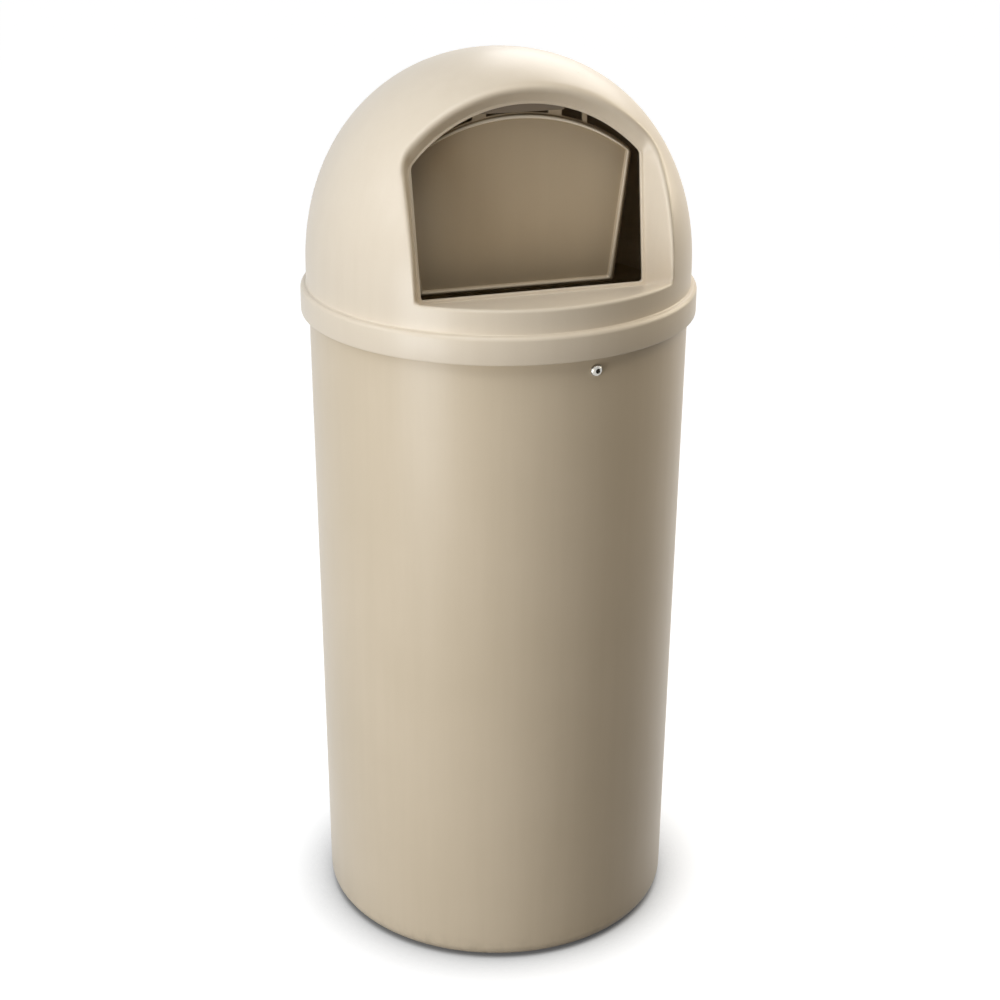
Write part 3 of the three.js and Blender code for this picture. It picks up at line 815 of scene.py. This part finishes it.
def turned(profile, axis, steps=48, radius_at=None):
    """Rings about an axis for a profile of (radius, distance along the axis)."""
    origin, along = (np.array(v) for v in axis)
    up = np.array([0.0, 0.0, 1.0])
    across = np.cross(up, along)
    turn = np.arange(steps) * 2 * math.pi / steps
    rings = []
    for radius, distance in profile:
        reach = radius_at(radius, distance, turn) if radius_at else np.full(steps, radius)
        spoke = across * np.cos(turn)[:, None] + up * np.sin(turn)[:, None]
        rings.append(origin + along * distance + spoke * reach[:, None])
    return rings


def hexagon(turn, corner):
    """Radius of a hexagon of that corner radius, in each direction."""
    return corner * math.cos(math.pi / 6) / np.cos(turn % (math.pi / 3) - math.pi / 6)


def eased(profile, ease):
    """The profile with each of its corners cut by a small round."""
    points = np.asarray(profile, dtype=float)
    out = [points[0]]
    for before, corner, after in zip(points, points[1:], points[2:]):
        way_in, way_out = corner - before, after - corner
        near = min(ease, 0.4 * np.linalg.norm(way_in), 0.4 * np.linalg.norm(way_out))
        start = corner - near * way_in / np.linalg.norm(way_in)
        end = corner + near * way_out / np.linalg.norm(way_out)
        out += [start, *bent(start, corner, end, 3)]
    return [tuple(p) for p in [*out, points[-1]]]


def eased_loop(profile, ease):
    closed = [*profile, profile[0], profile[1]]
    return eased(closed, ease)[1:-1]


def mirrored(profile, side):
    return [(radius, side * distance) for radius, distance in profile]


def rod_profile():
    return eased([(AXIS_R, -ROD_X), (ROD_R, -ROD_X), (ROD_R, ROD_X), (AXIS_R, ROD_X)], 0.0005)


def clip_profile():
    bore = ROD_R + GAP
    crown = arc((CLIP_R - 0.0022, CLIP_X[1] - 0.0022), 0.0022, 0, 90, 6)
    section = [(AXIS_R, ROD_X + GAP), (bore, ROD_X + GAP), (bore, CLIP_X[0]), (CLIP_R, CLIP_X[0]), *crown]
    return eased([*section, (AXIS_R, CLIP_X[1])], 0.0002)


def bush_profile(knuckle, towards_lug):
    """A sleeve through the knuckle with a flange on the face that looks at the lug."""
    bore = ROD_R + GAP
    outward = towards_lug > knuckle[0]
    face = knuckle[1] + GAP if outward else knuckle[0] - GAP
    rim = face + FLANGE if outward else face - FLANGE
    plain = knuckle[0] if outward else knuckle[1]
    section = [(bore, plain), (BUSH_R, plain), (BUSH_R, face), (FLANGE_R, face), (FLANGE_R, rim), (bore, rim)]
    return eased_loop(section, 0.00025)


def pad_profile(length):
    crown = arc((PAD_R - 0.0015, length - 0.0015), 0.0015, 0, 90, 6)
    foot = arc((PAD_R - 0.0005, 0.0005), 0.0005, -60, 0, 2)
    return [(AXIS_R, 0), (PAD_R - 0.0005, 0), *foot, *crown, (AXIS_R, length)]


THREAD_PITCH = 0.00125
THREAD_DEPTH = 0.0006
THREAD_FADE = 0.0015  # length over which the thread runs out
SCREW_SIDES = 72  # a whole number for each side of a hexagon


def screw_profile(seat):
    """From the tip up the threaded shank, over the button head and down into its socket."""
    shank = [(SCREW_R, d) for d in np.arange(SCREW_TIP + 0.0008, seat - 0.0045, THREAD_PITCH / 6)]
    crown = HEAD_RISE
    face = seat + crown
    head = [(HEAD_R - 0.0003, seat), (HEAD_R, seat + 0.0003)]
    turn = np.linspace(0.08, math.pi / 2, 12)
    head += [(HEAD_R - crown + crown * math.cos(t), seat + crown * math.sin(t)) for t in turn]
    socket = [(SOCKET_R + 0.0004, face), (SOCKET_R, face - 0.0003), (SOCKET_R, face - SOCKET_DEPTH)]
    tip = [(AXIS_R, SCREW_TIP), (SCREW_R - 0.001, SCREW_TIP)]
    collar = [(SCREW_R, seat - 0.0004), (SCREW_R, seat)]
    return [*tip, *shank, *collar, *head, *socket, (AXIS_R, face - SOCKET_DEPTH - 0.0004)]


def screw_radius(seat):
    """The shank carries a thread and the socket is hexagonal; all else is round."""
    thread_end = seat - 0.006

    def radius_at(radius, distance, turn):
        if radius == SCREW_R and distance < thread_end + THREAD_FADE:
            phase = (distance / THREAD_PITCH - turn / (2 * math.pi)) % 1
            fade = 1 - smoothed(thread_end, thread_end + THREAD_FADE, distance)
            return radius - THREAD_DEPTH * fade * np.abs(2 * phase - 1)
        if distance > seat and radius in (SOCKET_R, SOCKET_R + 0.0004):
            return hexagon(turn, radius)
        return np.full(len(turn), radius)

    return radius_at


def nut_radius(radius, _, turn):
    """Six flats whose corners are chamfered towards both faces; the bore stays round."""
    if radius < SCREW_R + 0.001:
        return np.full(len(turn), radius)
    return np.minimum(hexagon(turn, NUT_R), radius)


def nut_profile(seat):
    low, high = seat - NUT_WALL, seat
    bore = SCREW_R + GAP
    flats = NUT_R * math.cos(math.pi / 6)
    return [
        (bore, low + 0.0004),
        (bore + 0.0004, low),
        (flats, low),
        (NUT_R, low + 0.0006),
        (NUT_R, high - 0.0006),
        (flats, high),
        (bore + 0.0004, high),
        (bore, high - 0.0004),
    ]


def washer_profile(seat):
    bore = SCREW_R + GAP
    low = seat - WASHER_WALL
    return eased_loop([(bore, low), (WASHER_R, low), (WASHER_R, seat), (bore, seat)], 0.0003)


# ---------------------------------------------------------------- door


def door_outline():
    """The plate's edge: an arch with four tabs that rise to the knuckles."""
    soft = dict(round_sill=DOOR_ROUND + DOOR_MARGIN / 2, round_top=DOOR_SHOULDER + DOOR_MARGIN / 2)
    smooth = arched(**BEAD, grow=DOOR_MARGIN, **soft)
    right = smooth[: len(smooth) // 2 + 1]
    arch = right[SILL_POINTS + SIDE_POINTS + 2 * CORNER_POINTS :]
    clear = 0.002  # no points this near to a corner, so that the edge's rounding stays simple

    def arch_z(x):
        return float(np.interp(x, arch[::-1, 0], arch[::-1, 1]))

    def between(low, high):
        return [tuple(p) for p in arch if low < p[0] < high]

    inner_near, inner_far = INNER_KNUCKLE
    outer_near, outer_far = OUTER_KNUCKLE
    half = [tuple(p) for p in right if p[1] < BEAD["top_z"] or p[0] > outer_far + clear]
    half += [(outer_far, arch_z(outer_far)), (outer_far, NECK_Z)]
    half += [(outer_near, NECK_Z), (outer_near, arch_z(outer_near))]
    half += between(TAB_EDGE + clear, outer_near - clear)
    half += [(TAB_EDGE, arch_z(TAB_EDGE)), (TAB_EDGE, NECK_Z - 0.004), (inner_far, NECK_Z)]
    half += [(inner_near, NECK_Z), (inner_near, arch_z(inner_near))]
    half = np.array(half + between(-clear, inner_near - clear))
    left = half[1:-1][::-1] * (-1, 1)
    return np.concatenate([half, left])


def moved_in(outline, distance):
    """A closed (x, z) outline, counterclockwise, with every edge moved in by a distance."""
    before, after = np.roll(outline, 1, axis=0), np.roll(outline, -1, axis=0)
    way_in, way_out = unit(outline - before), unit(after - outline)
    normal_in = np.stack([-way_in[:, 1], way_in[:, 0]], axis=-1)
    normal_out = np.stack([-way_out[:, 1], way_out[:, 0]], axis=-1)
    mitre = normal_in + normal_out
    mitre /= np.maximum((mitre * normal_in).sum(axis=1), 0.5)[:, None]
    return outline + mitre * distance


def at_depth(outline, y):
    return np.stack([outline[:, 0], np.full(len(outline), y), outline[:, 1]], axis=-1)


def door_plate():
    """Two flat faces and an edge rounded on both sides."""
    outline = door_outline()
    back = DOOR_Y + DOOR_PLATE
    r = 0.0008
    curve = [(r * (1 - math.cos(t)), r * (1 - math.sin(t))) for t in np.linspace(0, math.pi / 2, 5)]
    front = [at_depth(moved_in(outline, inset), DOOR_Y + depth) for inset, depth in curve]
    rear = [at_depth(moved_in(outline, inset), back - depth) for inset, depth in curve[::-1]]
    flat = r + 0.0005
    return [at_depth(moved_in(outline, flat), back), *rear, *front, at_depth(moved_in(outline, flat), DOOR_Y)]


def door_bead():
    """A bead with a round crown and a small fillet at its foot, all round the door's face."""
    fillet, crown = 0.0009, BEAD_RISE - BEAD_HALF
    foot = BEAD_HALF + fillet
    left = [(-foot, 0.0008), (-foot, 0.0)]
    left += [(-foot + fillet * math.sin(t), -fillet * (1 - math.cos(t))) for t in np.linspace(0.3, math.pi / 2, 4)]
    round_top = [(-BEAD_HALF * math.cos(t), -crown - BEAD_HALF * math.sin(t)) for t in np.linspace(0, math.pi, 13)]
    right = [(-margin, depth) for margin, depth in left[::-1]]
    rings = []
    for margin, depth in left + round_top + right:
        path = arched(**BEAD, grow=margin, round_sill=DOOR_ROUND + margin / 2, round_top=DOOR_SHOULDER + margin / 2)
        rings.append(at_depth(path, DOOR_Y + depth))
    return rings


def knuckle_neck(span):
    """Carries the tab's plate up to the front of its knuckle."""
    proud = 0.00002
    front, back = DOOR_Y - proud, DOOR_Y + DOOR_PLATE + proud
    under = BUSH_R + 0.0012
    angle = math.degrees(math.acos((HINGE_Y - back) / under))
    section = [(front, NECK_Z - 0.0015), (back, NECK_Z - 0.0015)]
    section += arc((HINGE_Y, HINGE_Z), under, 180 + angle, 180, 8) + [(front, HINGE_Z)]
    return [[(x, y, z) for y, z in section] for x in (span[0] - proud, span[1] + proud)]


def knuckle_profile(span):
    bore = BUSH_R + GAP
    return eased_loop([(bore, span[0]), (KNUCKLE_R, span[0]), (KNUCKLE_R, span[1]), (bore, span[1])], 0.0005)


# ---------------------------------------------------------------- springs

CURL_STEPS = 36


def spring_path(side):
    """Meets the inner knuckle square, winds round the rod, rises and ends square behind the stop rib."""
    start = INNER_KNUCKLE[0] - GAP
    coil_x = start - 3 * WIRE_R
    turns = np.arange(COIL_TURNS * CURL_STEPS + 1) / CURL_STEPS
    angle = math.pi - 2 * math.pi * turns
    across, up = COIL_R * np.cos(angle), COIL_R * np.sin(angle)
    curls = np.stack([coil_x - COIL_PITCH * turns, HINGE_Y + across, HINGE_Z + up], 1)
    leg_x, leg_y = curls[-1][:2]
    bend_z = HINGE_Z + LEG_RISE - LEG_BEND
    bend = [(leg_x, leg_y - LEG_BEND + y, z) for y, z in arc((0, bend_z), LEG_BEND, 0, 90, 10)]
    rise = [(leg_x, leg_y, z) for z in np.linspace(HINGE_Z, bend_z, 8)[1:-1]]
    tang = [(x, HINGE_Y - COIL_R, HINGE_Z - 0.4 * WIRE_R) for x in (start, start - WIRE_R, start - 1.8 * WIRE_R)]
    tip = [(leg_x, RIB_Y[1] + GAP, HINGE_Z + LEG_RISE)]
    return np.array([*tang, *curls[1:], *rise, *bend, *tip]) * (side, 1, 1)


def wire_rings(path, radius, sides=14):
    """Round wire along a path, with eased ends."""
    tangents = unit(np.gradient(path, axis=0))
    tangents[0], tangents[-1] = unit(path[1] - path[0]), unit(path[-1] - path[-2])
    across = np.array([0.0, 1.0, 0.0])
    turn = np.arange(sides) * 2 * math.pi / sides
    frames = []
    for tangent in tangents:
        across = across - tangent * (across @ tangent)
        across = across / np.linalg.norm(across)
        third = np.cross(tangent, across)
        frames.append(across * np.cos(turn)[:, None] + third * np.sin(turn)[:, None])
    ease = 0.3 * radius
    first = path[0] + 0.7 * radius * frames[0]
    last = path[-1] + 0.7 * radius * frames[-1]
    start = path[0] + tangents[0] * ease + radius * frames[0]
    end = path[-1] - tangents[-1] * ease + radius * frames[-1]
    inner = [point + radius * frame for point, frame in zip(path[1:-1], frames[1:-1])]
    return [first, start, *inner, end, last]


# ---------------------------------------------------------------- pieces

LID_COLOURS = linear(225, 212, 193), linear(219, 205, 185)
# the door's beige is a darker copy of the lid's plastic: painted shade for its place deep in the recess
SHADED_DOOR_COLOURS = linear(190, 173, 147), linear(184, 166, 140)
# the lid's plastic is painted dark over the stop rib and lugs: painted shade under the brow
lid_plastic = moulded_plastic("lid_plastic", *LID_COLOURS, where=painted_hinge_shade, tint=linear(96, 80, 62))
body_plastic = moulded_plastic("body_plastic", linear(216, 200, 176), linear(209, 193, 168))
# the door's plastic carries a pale painted highlight on its bead's crown, strongest along the arch
door_plastic = moulded_plastic("door_plastic", *SHADED_DOOR_COLOURS, where=painted_bead_highlight, tint=linear(250, 240, 222))
zinc = plated_steel("zinc_plate", linear(214, 212, 206))
# the screws' sockets carry painted shade
screw_metal = plated_steel("screw_metal", linear(196, 194, 188), socket=True)
wire_metal = drawn_wire("spring_wire")
nylon = natural_nylon("bush_nylon")
rubber = pad_rubber("stop_rubber")


def stands_for(piece, node, body):
    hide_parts(node)
    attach(piece, body)


lid = Shell().rings(lid_skin(), loop=True).rings(stop_rib())
for lug_side in (-1, 1):
    lid.rings(hinge_lug(lug_side), loop=True)
for tab_turn in SCREW_TURNS.values():
    lid.rings(slotted_tab(tab_turn))
stands_for(lid.build("dome_lid_moulding", lid_plastic), "dome_lid", "dome")

WALL_SEAT = BASE_R + (WALL_R - BASE_R) * SCREW_Z / SKIRT_Z + GAP
bores = []
for word, degrees in SCREW_TURNS.items():
    drill = turned([(HOLE_R, WALL_SEAT - 0.012), (HOLE_R, WALL_SEAT + 0.012)], screw_axis(degrees))
    bores.append(Shell().rings(drill).build("drill_" + word, body_plastic))
body = Shell().rings(revolved(body_section())).build("bin_body_moulding", body_plastic)
stands_for(cut_holes(body, bores), "bin_body", "bin")

door = Shell().rings(door_plate()).rings(door_bead(), loop=True)
for reach in (INNER_KNUCKLE, OUTER_KNUCKLE):
    for span in (reach, (-reach[1], -reach[0])):
        door.rings(turned(knuckle_profile(span), HINGE_AXIS), loop=True).rings(knuckle_neck(span))
stands_for(door.build("push_door_moulding", door_plastic), "door_panel", "door")

rod = Shell().rings(turned(rod_profile(), HINGE_AXIS)).build("turned_hinge_rod", zinc)
stands_for(rod, "hinge_rod", "dome")

pad_back = RIB_Y[1] + GAP
for word, side in (("left", -1), ("right", 1)):
    clip = Shell().rings(turned(mirrored(clip_profile(), side), HINGE_AXIS)).build("push_cap_" + word, zinc)
    stands_for(clip, "rod_clip_" + word, "dome")
    pad_axis = ((side * PAD_X, pad_back, PAD_Z), (0.0, 1.0, 0.0))
    pad = Shell().rings(turned(pad_profile(DOOR_Y - GAP - pad_back), pad_axis)).build("rubber_stop_" + word, rubber)
    stands_for(pad, "stop_pad_" + word, "dome")
    spring = Shell().rings(wire_rings(spring_path(side), WIRE_R)).build("wound_spring_" + word, wire_metal)
    stands_for(spring, "door_spring_" + word, "dome")
    for place, reach, lug_face in (("inner", INNER_KNUCKLE, LUG[0]), ("outer", OUTER_KNUCKLE, LUG[1])):
        profile = mirrored(bush_profile(reach, lug_face), side)
        bush = Shell().rings(turned(profile, HINGE_AXIS), loop=True)
        stands_for(bush.build(f"nylon_bush_{place}_{word}", nylon), f"hinge_bush_{place}_{word}", "door")

TAB_INNER = BASE_R + (WALL_R - BASE_R) * TAB_Z / SKIRT_Z - BODY_WALL - 2 * GAP - TAB_WALL
WASHER_SEAT = TAB_INNER - 2 * GAP
NUT_SEAT = WASHER_SEAT - WASHER_WALL - GAP
for word, degrees in SCREW_TURNS.items():
    axis = screw_axis(degrees)
    screw = Shell().rings(turned(screw_profile(WALL_SEAT), axis, SCREW_SIDES, screw_radius(WALL_SEAT)))
    stands_for(screw.build("button_screw_" + word, screw_metal), "lid_screw_" + word, "bin")
    washer = Shell().rings(turned(washer_profile(WASHER_SEAT), axis), loop=True)
    stands_for(washer.build("round_washer_" + word, zinc), "lid_washer_" + word, "bin")
    nut = Shell().rings(turned(nut_profile(NUT_SEAT), axis, SCREW_SIDES, nut_radius), loop=True)
    stands_for(nut.build("hex_nut_" + word, zinc), "lid_nut_" + word, "bin")

# ---------------------------------------------------------------- stage and light


WHITE, BLACK = (1.0, 1.0, 1.0, 1.0), (0.0, 0.0, 0.0, 1.0)
CONTACT_SHADOW = (0.05, 0.052, 0.056, 1.0)
FLOOR_GREY = (0.25, 0.25, 0.25, 1.0)  # what falls on the seen floor
FLOOR_BOUNCE = (0.2, 0.19, 0.17, 1.0)  # what the floor throws back at the object
WORLD_GLOW = (0.004, 0.004, 0.004, 1.0)


def floor_finish():
    """A pale floor that shows white round the object and keeps its soft contact shadow."""
    finish = Finish("studio_floor", Roughness=1.0, Specular_IOR_Level=0.0, Emission_Strength=1.0)
    seen = finish.seen()
    near = finish.node("ShaderNodeAmbientOcclusion", {"samples": 16}, {"Distance": 0.16}, output="AO")
    open_floor = finish.mixed(near.spread(0.25, 0.9), CONTACT_SHADOW, WHITE)
    base = finish.mixed(seen, FLOOR_BOUNCE, FLOOR_GREY)
    return finish.set(Base_Color=base, Emission_Color=finish.mixed(seen, BLACK, open_floor))


FLOOR_HALF = 40.0
corners = [(x * FLOOR_HALF, y * FLOOR_HALF, 0) for x, y in ((-1, -1), (1, -1), (1, 1), (-1, 1))]
floor = make_object("floor", corners, [(0, 1, 2, 3)], floor_finish())

COOL, PLAIN, SOFT_WARM, WARM = (0.94, 1.0, 1.07), (1.0, 1.0, 1.0), (1.05, 0.95, 0.76), (1.1, 0.9, 0.6)


def softbox(name, turn, rise, power, tint=PLAIN, size=1.5, distance=2.6, aim_z=0.6):
    """A square lamp at a turn from the front and a rise above the level that it is aimed at, both in degrees."""
    lamp = bpy.data.lights.new(name, "AREA")
    lamp.shape = "SQUARE"
    lamp.size, lamp.energy, lamp.color = size, power, tint
    holder = bpy.data.objects.new(name, lamp)
    turn, rise = math.radians(turn), math.radians(rise)
    away = Vector((math.sin(turn) * math.cos(rise), -math.cos(turn) * math.cos(rise), math.sin(rise)))
    holder.location = away * distance + Vector((0, 0, aim_z))
    holder.rotation_euler = (-away).to_track_quat("-Z", "Y").to_euler()
    bpy.context.scene.collection.objects.link(holder)


SMALL = dict(size=1.0, distance=1.5)
softbox("key_left", -80, 35, 17.1, COOL)
softbox("front_left", -41, 5, 9.4, WARM)
softbox("side_left", -60, 5, 2.0, COOL)
softbox("low_left", -60, -15, 20.7, COOL, size=1.0, distance=2.2, aim_z=1.0)
softbox("top_left", -40, 60, 9.0, COOL, aim_z=0.9, **SMALL)
softbox("top_right", 20, 60, 4.4, SOFT_WARM, aim_z=0.9, **SMALL)
softbox("right_edge", 95, 15, 13.0, SOFT_WARM, aim_z=1.0, **SMALL)
softbox("rear_fill", 145, 38, 18.0)


def studio_world():
    """White where it is looked at, and almost no light of its own."""
    world = bpy.data.worlds.new("studio")
    world.use_nodes = True
    world.node_tree.nodes.clear()
    graph = Graph(world.node_tree)
    shown = graph.mixed(graph.seen(), WORLD_GLOW, WHITE)
    light = graph.node("ShaderNodeBackground", inputs={"Color": shown})
    graph.node("ShaderNodeOutputWorld", inputs={"Surface": light})
    bpy.context.scene.world = world


studio_world()

# ---------------------------------------------------------------- camera

CAMERA_TURN = math.radians(18.267)  # to the object's left of straight ahead
CAMERA_DOWN = 0.3929
CAMERA_ROLL = 0.0059
CAMERA_DISTANCE = 2.16528  # from the object's axis, on the floor plan
CAMERA_HEIGHT = 1.41572
FOCAL_PIXELS = 1916.585
PICTURE_PIXELS = 1000
CENTRE_OFFSET_PIXELS = 2.728

camera_data = bpy.data.cameras.new("camera")
camera_data.sensor_width = 36.0
camera_data.lens = camera_data.sensor_width * FOCAL_PIXELS / PICTURE_PIXELS
camera_data.shift_x = CENTRE_OFFSET_PIXELS / PICTURE_PIXELS
camera_data.clip_end = 200.0
camera = bpy.data.objects.new("camera", camera_data)
bpy.context.scene.collection.objects.link(camera)
flat = Vector((math.sin(CAMERA_TURN), math.cos(CAMERA_TURN), 0.0))
ahead = flat * math.cos(CAMERA_DOWN) + Vector((0, 0, -math.sin(CAMERA_DOWN)))
aim = ahead.to_track_quat("-Z", "Y").to_matrix().to_4x4()
place = Vector((-flat.x * CAMERA_DISTANCE, -flat.y * CAMERA_DISTANCE, CAMERA_HEIGHT))
camera.matrix_world = Matrix.Translation(place) @ aim @ Matrix.Rotation(CAMERA_ROLL, 4, "Z")
bpy.context.scene.camera = camera

bpy.context.scene.view_settings.view_transform = "Standard"
